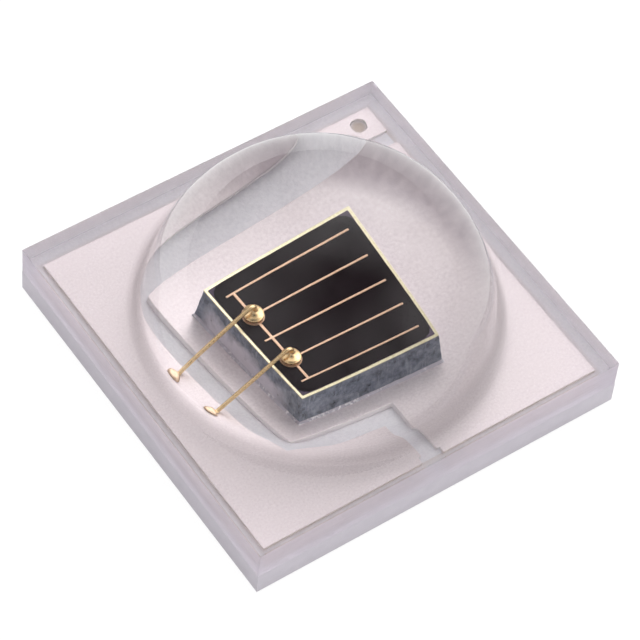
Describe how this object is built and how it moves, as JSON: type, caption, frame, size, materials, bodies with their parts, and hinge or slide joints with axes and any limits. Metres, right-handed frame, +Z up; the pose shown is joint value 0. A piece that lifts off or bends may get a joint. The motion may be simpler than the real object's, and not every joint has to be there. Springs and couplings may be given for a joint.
{
  "type": "high-power infrared LED",
  "caption": "Square ceramic surface-mount infrared emitter: large wire-bonded chip on a split metal pad under a clear silicone dome with a flat square flange.",
  "frame": {"origin": "centre of the package in the plane of its solder pads, which is the plane it stands on", "axes": "+Z up through the dome, +X towards the pad half that carries the chip, -X towards the pad half that takes the bond wires"},
  "size_m": [0.0034, 0.0034, 0.0019],
  "materials": {
    "gold_plate": "matte gold flash over nickel and copper",
    "ceramic": "fine-grained fired ceramic, diced edges",
    "silver_plate": "matte bright plating",
    "solder": "dull solder",
    "chip_carrier": "sawn semiconductor",
    "chip_gold": "bright gold",
    "semiconductor": "polished dark semiconductor",
    "contact_metal": "thin gold alloy film",
    "bond_gold": "drawn gold wire",
    "silicone": "clear moulded silicone, matte diced edges",
    "via_copper": "plated copper"
  },
  "bodies": {
    "root": {"cathode_pad": "gold_plate", "anode_pad": "gold_plate", "thermal_pad": "gold_plate", "ceramic_substrate": "ceramic", "wire_pad": "silver_plate", "die_pad": "silver_plate", "die_attach": "solder", "led_die": "chip_carrier", "bond_metal": "chip_gold", "emitter_mesa": "semiconductor", "contact_grid": "contact_metal", "bond_wire_1": "bond_gold", "bond_wire_2": "bond_gold", "stitch_bump_1": "bond_gold", "stitch_bump_2": "bond_gold", "silicone_lens": "silicone", "cathode_via_1": "via_copper", "cathode_via_2": "via_copper", "cathode_via_3": "via_copper", "anode_via_1": "via_copper", "anode_via_2": "via_copper", "anode_via_3": "via_copper"}
  },
  "joints": []
}
